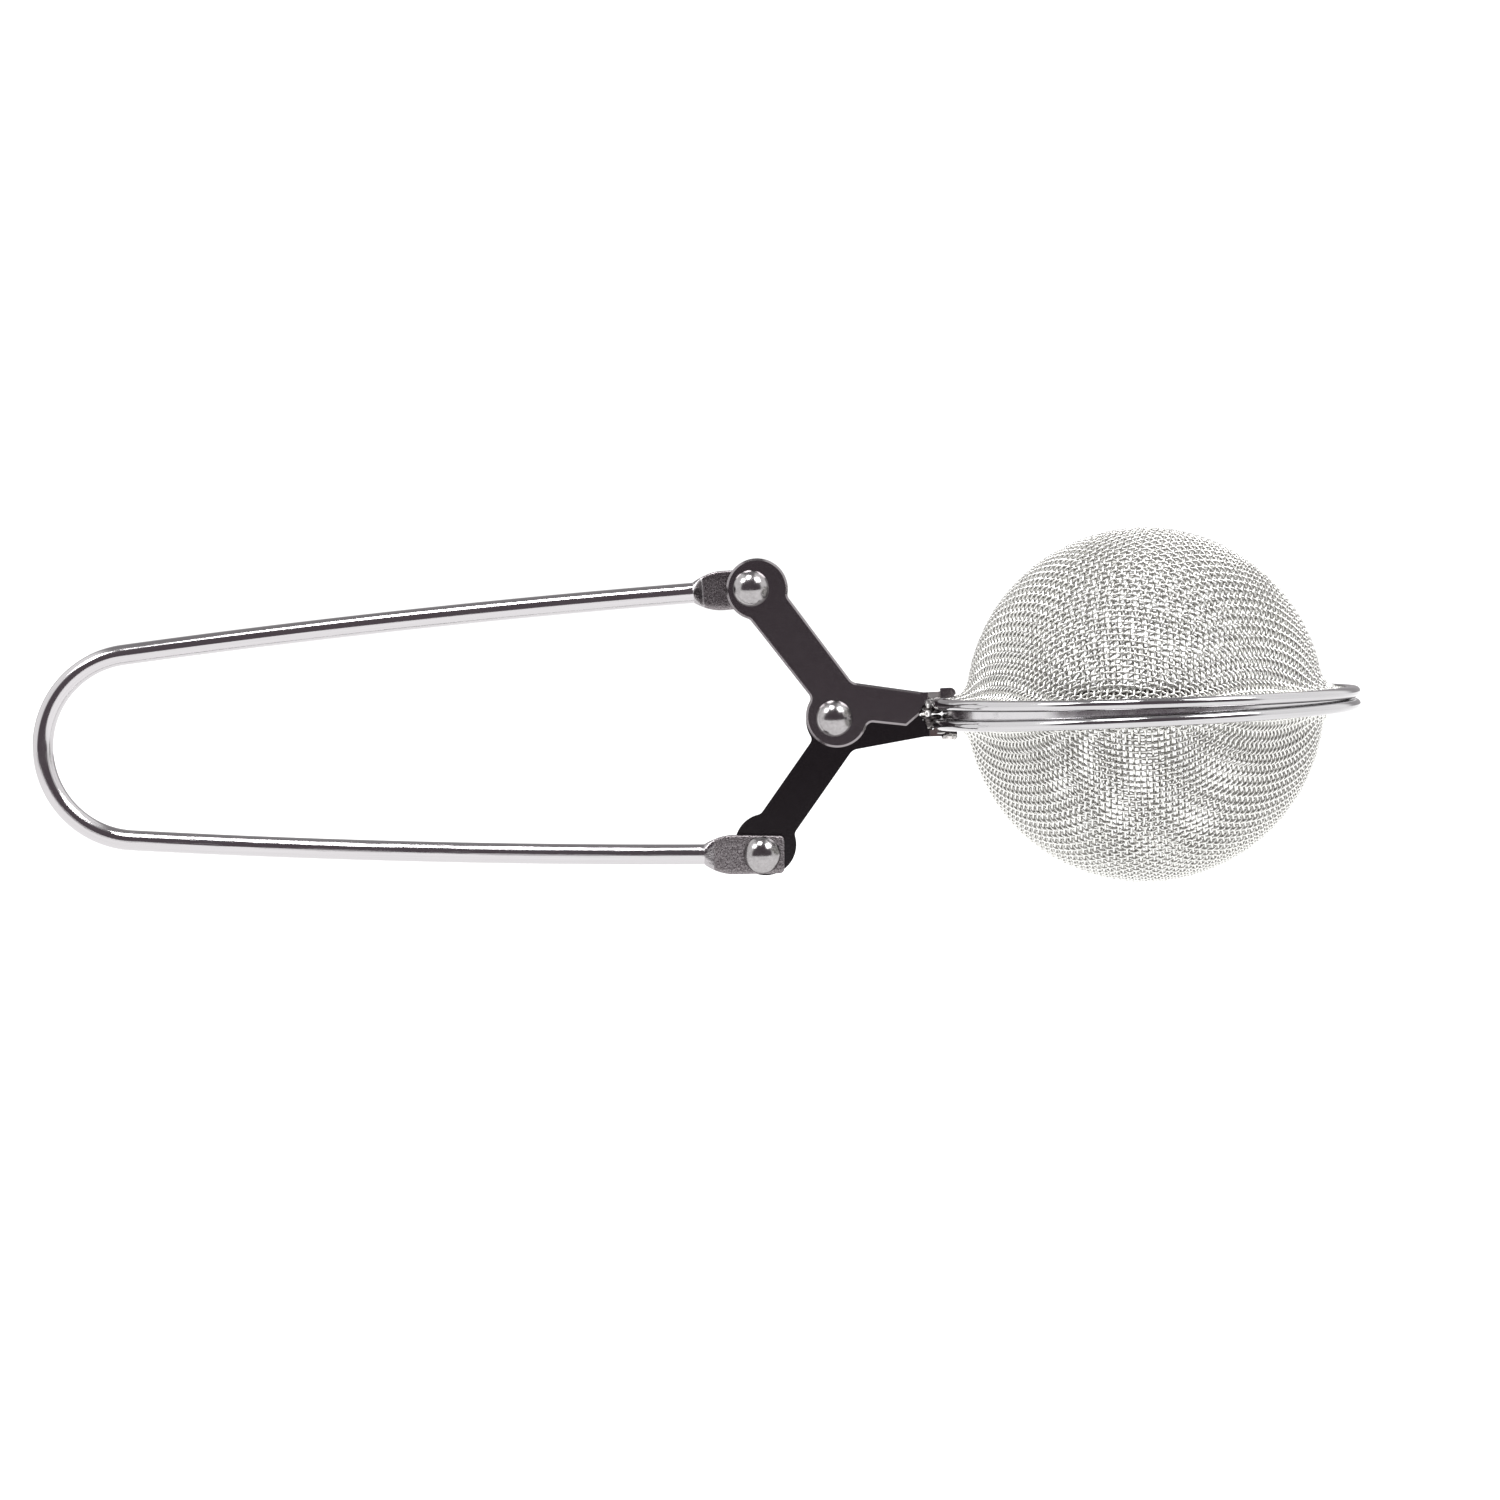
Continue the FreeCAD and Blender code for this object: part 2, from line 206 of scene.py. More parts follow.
# Camera
CAMERA_DISTANCE = 450.0
CAMERA_ELEVATION = math.radians(2.4)
CAMERA_ROLL = math.radians(2.4)
CAMERA_TARGET = np.array([71.64, 0.0, -3.30])
CAMERA_LENS = 92.4
SENSOR_WIDTH = 36

SHARP = math.radians(40)  # edges that fold more than this stay crisp


def joint_point(name):
    """Where a joint of the frame turns, in millimetres."""
    joint = next(j for j in frame["joints"] if j["name"] == name)
    return np.array(joint["pos_m"]) / MM


PIVOT = joint_point("centre_pivot")
UPPER_RIVET = joint_point("upper_rivet_pivot")
FLEXURE = joint_point("upper_arm_flex")
ring_low, ring_high = (np.array(corner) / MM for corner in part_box("upper_ring"))
RING_CENTRE = (ring_low + ring_high) / 2
RING_R = (ring_high[1] - ring_low[1]) / 2 - RING_WIRE_R


# == Mesh helpers ==

def unit(vectors):
    return vectors / np.linalg.norm(vectors, axis=-1, keepdims=True)


def turned_over(points):
    """The same points for the lower half."""
    return points * [1.0, -1.0, -1.0]


def in_upper_jaw(points):
    """Points drawn about Z, moved to their place in the upper jaw."""
    cos_a = math.cos(JAW_GAPE)
    sin_a = math.sin(JAW_GAPE)
    x, y, z = points[..., 0], points[..., 1], points[..., 2]
    tilted = np.stack([x * cos_a + z * sin_a, y, z * cos_a - x * sin_a], axis=-1)
    return tilted + RING_CENTRE


def in_jaw(points, side):
    """Points drawn about Z, moved to their place in the "upper" or the "lower" jaw."""
    placed = in_upper_jaw(points)
    return turned_over(placed) if side == "lower" else placed


def settle(piece, node_name, body):
    """A piece stands for a node, which is hidden, and moves with a body."""
    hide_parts(node_name)
    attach(piece, body)


def mesh_piece(name, points, face_groups, material, uvs=None, sharp=SHARP):
    """A Blender object from points in millimetres and arrays of faces, one per corner count."""
    mesh = bpy.data.meshes.new(name)
    points = np.asarray(points, float).reshape(-1, 3)
    counts = np.concatenate([np.full(len(group), group.shape[1]) for group in face_groups])
    corners = np.concatenate([group.ravel() for group in face_groups])
    mesh.vertices.add(len(points))
    mesh.vertices.foreach_set("co", (points * MM).astype(np.float32).ravel())
    mesh.loops.add(len(corners))
    mesh.loops.foreach_set("vertex_index", corners.astype(np.int32))
    mesh.polygons.add(len(counts))
    starts = np.concatenate([[0], np.cumsum(counts)[:-1]])
    mesh.polygons.foreach_set("loop_start", starts.astype(np.int32))
    mesh.polygons.foreach_set("use_smooth", np.ones(len(counts), bool))
    mesh.update(calc_edges=True)
    if uvs is not None:
        layer = mesh.uv_layers.new(name="along_around")
        layer.data.foreach_set("uv", uvs.astype(np.float32).ravel())
    mesh.validate()
    if sharp:
        mesh.set_sharp_from_angle(angle=sharp)
    mesh.materials.append(material)
    piece = bpy.data.objects.new(name, mesh)
    bpy.context.scene.collection.objects.link(piece)
    return piece


def mark(piece, name, values):
    """Give a piece's points a named value that its material reads."""
    made = piece.data.attributes.new(name, "FLOAT", "POINT")
    made.data.foreach_set("value", np.asarray(values, np.float32).ravel())


def section_quads(stations, sides, closed=False):
    """Station and side of each quad over closed sections, and the quads."""
    spans = stations if closed else stations - 1
    s, k = np.meshgrid(np.arange(spans), np.arange(sides), indexing="ij")
    s_next = (s + 1) % stations
    k_next = (k + 1) % sides
    quads = np.stack([s * sides + k, s * sides + k_next,
                      s_next * sides + k_next, s_next * sides + k], axis=-1).reshape(-1, 4)
    return s, k, quads


def end_caps(stations, sides):
    """The two flat ends over a run of closed sections."""
    side = np.arange(sides)
    return np.stack([side[::-1], (stations - 1) * sides + side])


def skin(sections, closed=False):
    """Faces and UVs over closed sections, an array of (station, side, xyz). UVs are millimetres
    along and around. An open skin gets flat caps."""
    stations, sides, _ = sections.shape
    middles = sections.mean(axis=1)
    steps = np.linalg.norm(np.roll(middles, -1, axis=0) - middles, axis=1)
    along = np.concatenate([[0], np.cumsum(steps)])
    girth = np.linalg.norm(np.roll(sections, -1, axis=1) - sections, axis=2).sum(axis=1).mean()
    s, k, quads = section_quads(stations, sides, closed)
    around = girth * np.arange(sides + 1) / sides
    uv = np.stack([
        np.stack([along[s], around[k]], axis=-1),
        np.stack([along[s], around[k + 1]], axis=-1),
        np.stack([along[s + 1], around[k + 1]], axis=-1),
        np.stack([along[s + 1], around[k]], axis=-1),
    ], axis=-2).reshape(-1, 2)
    groups = [quads]
    if not closed:
        groups.append(end_caps(stations, sides))
        uv = np.concatenate([uv, np.zeros((2 * sides, 2))])
    return groups, uv


def lathe(profile, segments, axis):
    """Sections of a closed profile of (radius, height) points turned about an axis, "y" or "z"."""
    angles = np.linspace(0, 2 * math.pi, segments, endpoint=False)
    radius = profile[:, 0]
    height = np.broadcast_to(profile[:, 1], (segments, len(profile)))
    a = radius * np.cos(angles)[:, None]
    b = radius * np.sin(angles)[:, None]
    if axis == "z":
        return np.stack([a, b, height], axis=-1)[:, ::-1]
    return np.stack([a, height, b], axis=-1)


def rounded(corners, radii, steps=5):
    """A closed outline of 2D corners with each corner rounded to an arc of its own radius."""
    corners = np.asarray(corners, float)
    out = []
    for index, (corner, radius) in enumerate(zip(corners, radii)):
        to_last = unit(corners[index - 1] - corner)
        to_next = unit(corners[(index + 1) % len(corners)] - corner)
        half = math.acos(np.clip(to_last @ to_next, -1, 1)) / 2
        room = radius / math.tan(half)
        centre = corner + unit(to_last + to_next) * radius / math.sin(half)
        first = corner + to_last * room - centre
        last = corner + to_next * room - centre
        for share in np.linspace(0, 1, steps + 1):
            out.append(centre + unit(first * (1 - share) + last * share) * radius)
    return np.array(out)


def lattice_noise(u, v, cell, seed):
    """Smooth random values from -1 to 1 over a plane, with bumps about one cell wide."""
    rng = np.random.default_rng(seed)
    size = 256
    table = rng.uniform(-1, 1, (size, size))
    u = u / cell
    v = v / cell
    iu = np.floor(u).astype(int)
    iv = np.floor(v).astype(int)
    fu = u - iu
    fv = v - iv
    fu = fu * fu * (3 - 2 * fu)
    fv = fv * fv * (3 - 2 * fv)
    corner = [[table[(iu + a) % size, (iv + b) % size] for b in (0, 1)] for a in (0, 1)]
    low = corner[0][0] * (1 - fv) + corner[0][1] * fv
    high = corner[1][0] * (1 - fv) + corner[1][1] * fv
    return low * (1 - fu) + high * fu


# == Materials ==

def metal(name, colour, roughness):
    """A bare metal with its node tree, ready for detail."""
    material = bpy.data.materials.new(name)
    material.use_nodes = True
    shader = material.node_tree.nodes["Principled BSDF"]
    shader.inputs["Metallic"].default_value = 1.0
    shader.inputs["Base Color"].default_value = (*colour, 1)
    shader.inputs["Roughness"].default_value = roughness
    return material, shader


def node(material, kind, **values):
    """A new node of a material or a world, with values for its inputs or settings."""
    made = material.node_tree.nodes.new(kind)
    for key, value in values.items():
        if key in made.inputs:
            made.inputs[key].default_value = value
        else:
            setattr(made, key, value)
    return made


def link(material, source, target):
    material.node_tree.links.new(source, target)


def stretched(material, space, scale):
    """Coordinates of a space scaled per axis. UVs are millimetres, Object is metres."""
    coordinates = node(material, "ShaderNodeTexCoord")
    mapping = node(material, "ShaderNodeMapping", Scale=scale)
    link(material, coordinates.outputs[space], mapping.inputs["Vector"])
    return mapping.outputs["Vector"]


def noise(material, vector, detail=4.0, rough=0.55, scale=1.0):
    texture = node(material, "ShaderNodeTexNoise", Scale=scale, Detail=detail, Roughness=rough)
    link(material, vector, texture.inputs["Vector"])
    return texture.outputs["Fac"]


def solid_noise(material, scale, detail):
    """Noise through the metal itself, with so many cells a metre."""
    return noise(material, stretched(material, "Object", (scale, scale, scale)), detail=detail)


def drawn_lines(material):
    """Faint lines along drawn or rolled metal."""
    return noise(material, stretched(material, "UV", (0.05, 9.0, 1.0)), detail=3.0)


def attribute(material, name):
    """A value that mark() gave the piece's points."""
    return node(material, "ShaderNodeAttribute", attribute_name=name).outputs["Fac"]


def spread(material, value, low, high, from_low=0.3, from_high=0.7, kind="LINEAR"):
    """A value mapped from one range to another."""
    mapped = node(material, "ShaderNodeMapRange", interpolation_type=kind)
    mapped.inputs["From Min"].default_value = from_low
    mapped.inputs["From Max"].default_value = from_high
    mapped.inputs["To Min"].default_value = low
    mapped.inputs["To Max"].default_value = high
    link(material, value, mapped.inputs["Value"])
    return mapped.outputs["Result"]


def mix_colour(material, share, first, second):
    """Two colours, or sockets, mixed by a share."""
    mixed = node(material, "ShaderNodeMix", data_type="RGBA")
    link(material, share, mixed.inputs["Factor"])
    for slot, value in (("A", first), ("B", second)):
        socket = next(i for i in mixed.inputs if i.name == slot and i.type == "RGBA")
        if isinstance(value, tuple):
            socket.default_value = (*value, 1)
        else:
            link(material, value, socket)
    return next(o for o in mixed.outputs if o.type == "RGBA")


def mix_value(material, share, first, second):
    """Two values mixed by a share."""
    mixed = node(material, "ShaderNodeMix")
    for name, source in (("Factor", share), ("A", first), ("B", second)):
        link(material, source, mixed.inputs[name])
    return mixed.outputs["Result"]


def product(material, factors):
    """The product of several values."""
    result = factors[0]
    for factor in factors[1:]:
        times = node(material, "ShaderNodeMath", operation="MULTIPLY")
        link(material, result, times.inputs[0])
        link(material, factor, times.inputs[1])
        result = times.outputs[0]
    return result


def axes(material, space):
    """The X, Y and Z coordinates of a space."""
    coordinates = node(material, "ShaderNodeTexCoord")
    split = node(material, "ShaderNodeSeparateXYZ")
    link(material, coordinates.outputs[space], split.inputs[0])
    return [split.outputs[axis] for axis in "XYZ"]


def dress(material, shader, tone, rough):
    link(material, tone, shader.inputs["Base Color"])
    link(material, rough, shader.inputs["Roughness"])


def bump(material, shader, height, distance):
    """Relief of a height from 0 to 1, as deep as a distance in millimetres."""
    relief = node(material, "ShaderNodeBump", Strength=1.0, Distance=distance * MM)
    link(material, height, relief.inputs["Height"])
    link(material, relief.outputs["Normal"], shader.inputs["Normal"])


def ring_steel():
    """Polished drawn wire: faint lines along it and soft handling marks."""
    material, shader = metal("ring_steel", RING_COLOUR, 0.06)
    lines = drawn_lines(material)
    marks = noise(material, stretched(material, "UV", (0.25, 0.6, 1.0)), detail=5.0)
    darker_tone = tuple(0.86 * c for c in RING_COLOUR)
    tone = mix_colour(material, spread(material, lines, 0, 1), RING_COLOUR, darker_tone)
    dress(material, shader, tone, spread(material, marks, 0.06, 0.14))
    bump(material, shader, lines, 0.004)
    return material


def rod_steel(name, grit_depth):
    """The handle: drawn and polished, then pebbled, browner metal where the press struck it. The
    attribute "pressed" is 0 on the round rod, under a half on the facet and 1 on the flat."""
    material, shader = metal(name, ROD_COLOUR, 0.1)
    pressed = attribute(material, "pressed")
    lines = drawn_lines(material)
    grit = noise(material, stretched(material, "UV", (7.0, 7.0, 1.0)), detail=6.0, rough=0.7)
    marks = noise(material, stretched(material, "UV", (0.2, 0.6, 1.0)), detail=5.0)
    polished = spread(material, marks, 0.07, 0.15)
    struck = spread(material, grit, 0.2, 0.4)
    darker_tone = tuple(0.9 * c for c in ROD_COLOUR)
    smooth = mix_colour(material, spread(material, lines, 0, 1), ROD_COLOUR, darker_tone)
    speckle = spread(material, grit, 0, 1, 0.4, 0.68)
    dark = mix_colour(material, speckle, PRESSED_DARK, PRESSED_LIGHT)
    dress(material, shader, mix_colour(material, pressed, smooth, dark),
          mix_value(material, pressed, polished, struck))
    height = mix_value(material, pressed, spread(material, lines, 0.0, 0.12), grit)
    bump(material, shader, height, grit_depth)
    return material


def scratches(material, turn):
    """Fine straight scratches across the linkage plane, all one way: 0 clean, 1 scratched."""
    coordinates = node(material, "ShaderNodeTexCoord")
    rotation = node(material, "ShaderNodeMapping", Rotation=(0, turn, 0))
    stretch = node(material, "ShaderNodeMapping", Scale=(26000, 200, 500))
    link(material, coordinates.outputs["Object"], rotation.inputs["Vector"])
    link(material, rotation.outputs["Vector"], stretch.inputs["Vector"])
    return spread(material, noise(material, stretch.outputs["Vector"], detail=1.0), 0, 1, 0.7, 0.8)


def within(material, value, low, high, soft):
    """1 where a value lies between two limits, 0 outside them, with soft edges."""
    above = spread(material, value, 0, 1, low - soft, low + soft)
    below = spread(material, value, 1, 0, high - soft, high + soft)
    return product(material, [above, below])


def neck_heat(material):
    """1 on a plate's neck beside its ring, which the welding torch burnt, less on the lug beyond
    it and 0 elsewhere."""
    x, _, _ = axes(material, "Object")
    start = (PIVOT[0] + NECK_START_X) * MM
    end = (PIVOT[0] + NECK_END_X) * MM
    neck = within(material, x, start, end, NECK_SOFT * MM)
    lug = spread(material, x, 0, LUG_HEAT, end, end + NECK_SOFT * MM)
    most = node(material, "ShaderNodeMath", operation="MAXIMUM")
    link(material, neck, most.inputs[0])
    link(material, lug, most.inputs[1])
    return most.outputs[0]


def plate_steel(name, colour, dark, bright, burnt):
    """Satin stamped sheet: a fine rolled grain, faint smudges and a few stray scratches, and a
    burnt neck by the weld."""
    material, shader = metal(name, colour, 0.3)
    grain = noise(material, stretched(material, "Object", (1500, 1500, 30000)), detail=2.0)
    smudge = solid_noise(material, 110, 1.0)
    tone = mix_colour(material, spread(material, smudge, 0, 1, 0.25, 0.75), colour, dark)
    tone = mix_colour(material, spread(material, grain, 0, 0.3), tone, bright)
    for turn in SCRATCH_TURNS:
        worn = spread(material, scratches(material, turn), 0, 0.35, 0, 1)
        tone = mix_colour(material, worn, tone, bright)
    heat = neck_heat(material)
    scale = noise(material, stretched(material, "Object", (2500, 2500, 1500)), detail=4.0)
    scaled = mix_colour(material, spread(material, scale, 0, 1), burnt, bright)
    rolled_rough = spread(material, smudge, 0.15, 0.19, 0.25, 0.75)
    scaled_rough = spread(material, scale, 0.3, 0.5)
    dress(material, shader, mix_colour(material, heat, tone, scaled),
          mix_value(material, heat, rolled_rough, scaled_rough))
    height = mix_value(material, heat, spread(material, grain, 0, 0.05), scale)
    bump(material, shader, height, 0.02)
    return material


def rivet_steel():
    """Peened and polished heads with a little pitting."""
    material, shader = metal("rivet_steel", RIVET_COLOUR, 0.1)
    pits = solid_noise(material, 2600, 5.0)
    marks = solid_noise(material, 700, 3.0)
    tone = mix_colour(material, spread(material, pits, 0, 1, 0.35, 0.75), RIVET_COLOUR, RIVET_DARK)
    dress(material, shader, tone, spread(material, marks, 0.13, 0.22))
    bump(material, shader, marks, 0.016)
    return material


def cloth_steel():
    """Bright annealed wire, a touch warmer and duller in patches. The attribute "inside" is 1 on
    the side of a wire that faces into the bowl, which is drawn darker as painted shade."""
    material, shader = metal("cloth_steel", CLOTH_COLOUR, 0.2)
    patch = solid_noise(material, 90, 3.0)
    fine = solid_noise(material, 3000, 3.0)
    tone = mix_colour(material, spread(material, patch, 0, 1), CLOTH_COLOUR, CLOTH_WARM)
    tone = mix_colour(material, spread(material, fine, 0, 0.5), tone, CLOTH_DARK)
    # Painted shade on the inward side of the wires.
    inside = attribute(material, "inside")
    tone = mix_colour(material, spread(material, inside, 0, 1, 0.2, 0.8), tone, CLOTH_SHADE)
    dress(material, shader, tone, spread(material, fine, 0.22, 0.32))
    return material


def band_steel():
    """Rolled strip: polished outside. Where "inside" is 1, on the inner wall, painted shade makes
    it dark brownish grey in blotches.
    """
    material, shader = metal("band_steel", BAND_COLOUR, 0.1)
    # Blotches that vary the roughness and mix the two tones of painted shade on the inner wall.
    blotch = noise(material, stretched(material, "UV", (0.5, 2.0, 1.0)), detail=4.0)
    darker_tone = mix_colour(material, spread(material, blotch, 0, 1), BAND_SHADE, BAND_DEEP_SHADE)
    tone = mix_colour(material, attribute(material, "inside"), BAND_COLOUR, darker_tone)
    dress(material, shader, tone, spread(material, blotch, 0.12, 0.22))
    bump(material, shader, drawn_lines(material), 0.001)
    return material


def weld_steel():
    """Cast-looking nuggets with a straw and brown heat tint. The attribute "bright" is 1 on clean
    frozen metal and 0 on scaled fillets."""
    material, shader = metal("weld_steel", WELD_COLOUR, 0.22)
    lumps = solid_noise(material, 1800, 5.0)
    tint = solid_noise(material, 600, 3.0)
    tone = mix_colour(material, spread(material, tint, 0, 1, 0.45, 0.7), WELD_COLOUR, WELD_TINT)
    scaled = mix_colour(material, spread(material, lumps, 0, 1), SCALE_DARK, SCALE_LIGHT)
    tone = mix_colour(material, attribute(material, "bright"), scaled, tone)
    dress(material, shader, tone, spread(material, lumps, 0.24, 0.48))
    bump(material, shader, lumps, 0.03)
    return material


ROD_UPPER = rod_steel("rod_steel_upper", 0.014)
ROD_LOWER = rod_steel("rod_steel_lower", 0.06)
FRONT_PLATE = plate_steel("front_plate_steel", PLATE_COLOUR, PLATE_DARK, PLATE_BRIGHT,
                          PLATE_BURNT)
# The rear plate's material carries painted shade: its colours are darkened copies of the front
# plate's.
REAR_SHADED_PLATE = plate_steel("rear_shaded_plate_steel", REAR_SHADED_PLATE_COLOUR, REAR_SHADED_PLATE_DARK,
                         REAR_SHADED_PLATE_BRIGHT, REAR_SHADED_PLATE_BURNT)
RIVET = rivet_steel()
RING = ring_steel()
BAND = band_steel()
CLOTH = cloth_steel()
WELD = weld_steel()


# == Handle ==

def section_outline(half_w, half_t, squareness, sides):
    """Evenly spaced points of a superellipse: (across, depth), a circle at squareness 2."""
    angles = np.linspace(0, 2 * math.pi, 16 * sides + 1)
    across = np.copysign(np.abs(np.cos(angles)) ** (2 / squareness), np.cos(angles)) * half_w
    depth = np.copysign(np.abs(np.sin(angles)) ** (2 / squareness), np.sin(angles)) * half_t
    lengths = np.concatenate([[0], np.cumsum(np.hypot(np.diff(across), np.diff(depth)))])
    wanted = np.linspace(0, lengths[-1], sides, endpoint=False)
    return np.interp(wanted, lengths, across), np.interp(wanted, lengths, depth)


def arc_stations(centre, start, end, step):
    """Points and directions along an arc in the linkage plane, clockwise seen from the front."""
    radius = np.linalg.norm(start - centre)
    first = math.atan2(start[2] - centre[2], start[0] - centre[0])
    last = math.atan2(end[2] - centre[2], end[0] - centre[0])
    count = max(2, int(abs(first - last) * radius / step) + 1)
    angles = np.linspace(first, last, count)
    zero = np.zeros(count)
    points = centre + radius * np.stack([np.cos(angles), zero, np.sin(angles)], axis=1)
    directions = np.stack([np.sin(angles), zero, -np.cos(angles)], axis=1)
    return points, directions


def press_marks(along, across, pebble_depth, seed):
    """Relief that the dies leave on the pressed end: ridges that fan out over the facet, then
    pebbles on the flat."""
    past_root = along - PRESS_ROOT
    pebbles = lattice_noise(along, across, PEBBLE_CELL, seed)
    pebbles += FINE_PEBBLE_SHARE * lattice_noise(along, across, FINE_PEBBLE_CELL, seed + 1)
    fanned = across / (1 + RIDGE_FAN * past_root)
    ridges = lattice_noise(along * RIDGE_STRETCH, fanned, RIDGE_CELL, seed + 2)
    on_facet = np.clip(past_root / 0.1, 0, 1) * np.clip(1.4 - past_root / FACET_LENGTH, 0.15, 1)
    on_flat = np.clip((past_root - FACET_LENGTH) / 0.2, 0, 1)
    crease = np.exp(-((past_root - FACET_LENGTH) / CREASE_HALF_W) ** 2)
    relief = pebble_depth * pebbles * on_flat + RIDGE_DEPTH * ridges * on_facet
    return relief + CREASE_DEPTH * crease


def handle_half(name, turn_over, material, pebble_depth, seed):
    """Half of the sprung rod, from the crown of the rear bend to one pressed end."""
    direction = np.array([math.cos(ARM_END_SLOPE), 0, math.sin(ARM_END_SLOPE)])
    inward = np.array([direction[2], 0, -direction[0]])
    root = UPPER_RIVET + direction * PRESS_ROOT
    bow_r = (root @ root - BEND_R ** 2) / (-2 * (root @ inward + BEND_R))
    bow_centre = root + inward * bow_r
    crown = np.array([-BEND_R, 0, 0])
    bend_points, bend_directions = arc_stations(np.zeros(3), crown, FLEXURE, BEND_STEP)
    bow_points, bow_directions = arc_stations(bow_centre, FLEXURE, root, BOW_STEP)
    flat_along = np.append(np.arange(PRESS_ROOT, PRESS_TIP, FLAT_STEP)[1:], PRESS_TIP)
    flat_points = UPPER_RIVET + direction * flat_along[:, None]
    points = np.concatenate([bend_points[:-1], bow_points, flat_points])
    directions = np.concatenate([bend_directions[:-1], bow_directions,
                                 np.tile(direction, (len(flat_points), 1))])
    along = np.concatenate([np.full(len(points) - len(flat_along), PRESS_ROOT), flat_along])
    sections = np.zeros((len(points), ROD_SIDES, 3))
    pressed = np.zeros((len(points), ROD_SIDES))
    for index, place in enumerate(along):
        across, depth, share = pressed_outline(place, ROD_SIDES)
        out = np.array([-directions[index][2], 0, directions[index][0]])
        marks = press_marks(np.full(ROD_SIDES, place), across, pebble_depth, seed)
        facing = np.clip(np.abs(depth) / (PLATE_T / 2), 0, 1) ** 4
        depth = depth + np.sign(depth) * marks * facing * (share > 0)
        middle_y = (LAYER_INNER + PLATE_T / 2) * facet_share(place)
        sections[index] = points[index] + out * across[:, None]
        sections[index, :, 1] += depth + middle_y
        on_flat = facet_share(place) >= 1
        pressed[index] = FACET_MARK * (place > PRESS_ROOT) + (1 - FACET_MARK) * on_flat
    if turn_over:
        sections = turned_over(sections)
    groups, uvs = skin(sections)
    piece = mesh_piece(name, sections, groups, material, uvs)
    mark(piece, "pressed", pressed)
    return piece


def facet_share(along):
    """How far the press has flattened the rod at a place along it, from 0 to 1 at the crease."""
    return min(max((along - PRESS_ROOT) / FACET_LENGTH, 0), 1)


def pressed_outline(along, sides):
    """Outline of the rod at a place along its pressed end, and how far it has spread."""
    share = min(max((along - PRESS_ROOT) / PRESS_LENGTH, 0), 1)
    flat = facet_share(along)
    half_w = ROD_R + (PRESS_HALF_W - ROD_R) * (1 - (1 - share) ** 2)
    half_t = ROD_R + (PLATE_T / 2 - ROD_R) * flat
    if share == 1:
        past = (along - PRESS_ROOT - PRESS_LENGTH) / (PRESS_TIP - PRESS_ROOT - PRESS_LENGTH)
        half_w += (TIP_HALF_W - PRESS_HALF_W) * past
        into_corner = max(0.0, along - (PRESS_TIP - TIP_CORNER_R))
        half_w -= TIP_CORNER_R - math.sqrt(max(TIP_CORNER_R ** 2 - into_corner ** 2, 0))
    squareness = 2 + (PRESS_SQUARENESS - 2) * flat
    across, depth = section_outline(half_w, half_t, squareness, sides)
    return across, depth, share


def drill(piece, point):
    """Cut a rivet hole through a piece, parallel to Y."""
    angles = np.linspace(0, 2 * math.pi, DRILL_SIDES, endpoint=False)
    sections = np.array([[point + [HOLE_R * math.cos(a), y, HOLE_R * math.sin(a)] for a in angles]
                         for y in (DRILL_REACH, -DRILL_REACH)])
    groups, _ = skin(sections)
    cutter = mesh_piece("cutter", sections, groups, piece.data.materials[0])
    modifier = piece.modifiers.new("hole", "BOOLEAN")
    modifier.operation = "DIFFERENCE"
    modifier.object = cutter
    bpy.context.view_layer.update()
    cut = piece.evaluated_get(bpy.context.evaluated_depsgraph_get())
    drilled = bpy.data.meshes.new_from_object(cut)
    piece.modifiers.clear()
    piece.data = drilled
    bpy.data.objects.remove(cutter)
    piece.data.set_sharp_from_angle(angle=SHARP)


def handle():
    upper = handle_half("handle_rod_upper", False, ROD_UPPER, UPPER_PEBBLE_DEPTH, 3)
    lower = handle_half("handle_rod_lower", True, ROD_LOWER, LOWER_PEBBLE_DEPTH, 17)
    for piece, arm, point in ((upper, "upper_arm", UPPER_RIVET),
                              (lower, "lower_arm", turned_over(UPPER_RIVET))):
        drill(piece, point)
        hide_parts("handle_bend", arm)
        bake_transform(piece)


# == Rivets ==

def head_profile(height):
    """Half section of a domed head standing on its seat: (radius, rise), rim to crown."""
    ball_r = (HEAD_R ** 2 + height ** 2) / (2 * height)
    edge = math.asin(HEAD_R / ball_r)
    angles = np.linspace(edge * 0.985, 0, DOME_STEPS)
    dome = np.stack([ball_r * np.sin(angles), ball_r * np.cos(angles) - (ball_r - height)], axis=1)
    rim = np.array([[HEAD_R + out, rise] for out, rise in HEAD_RIM])
    return np.concatenate([rim, dome])


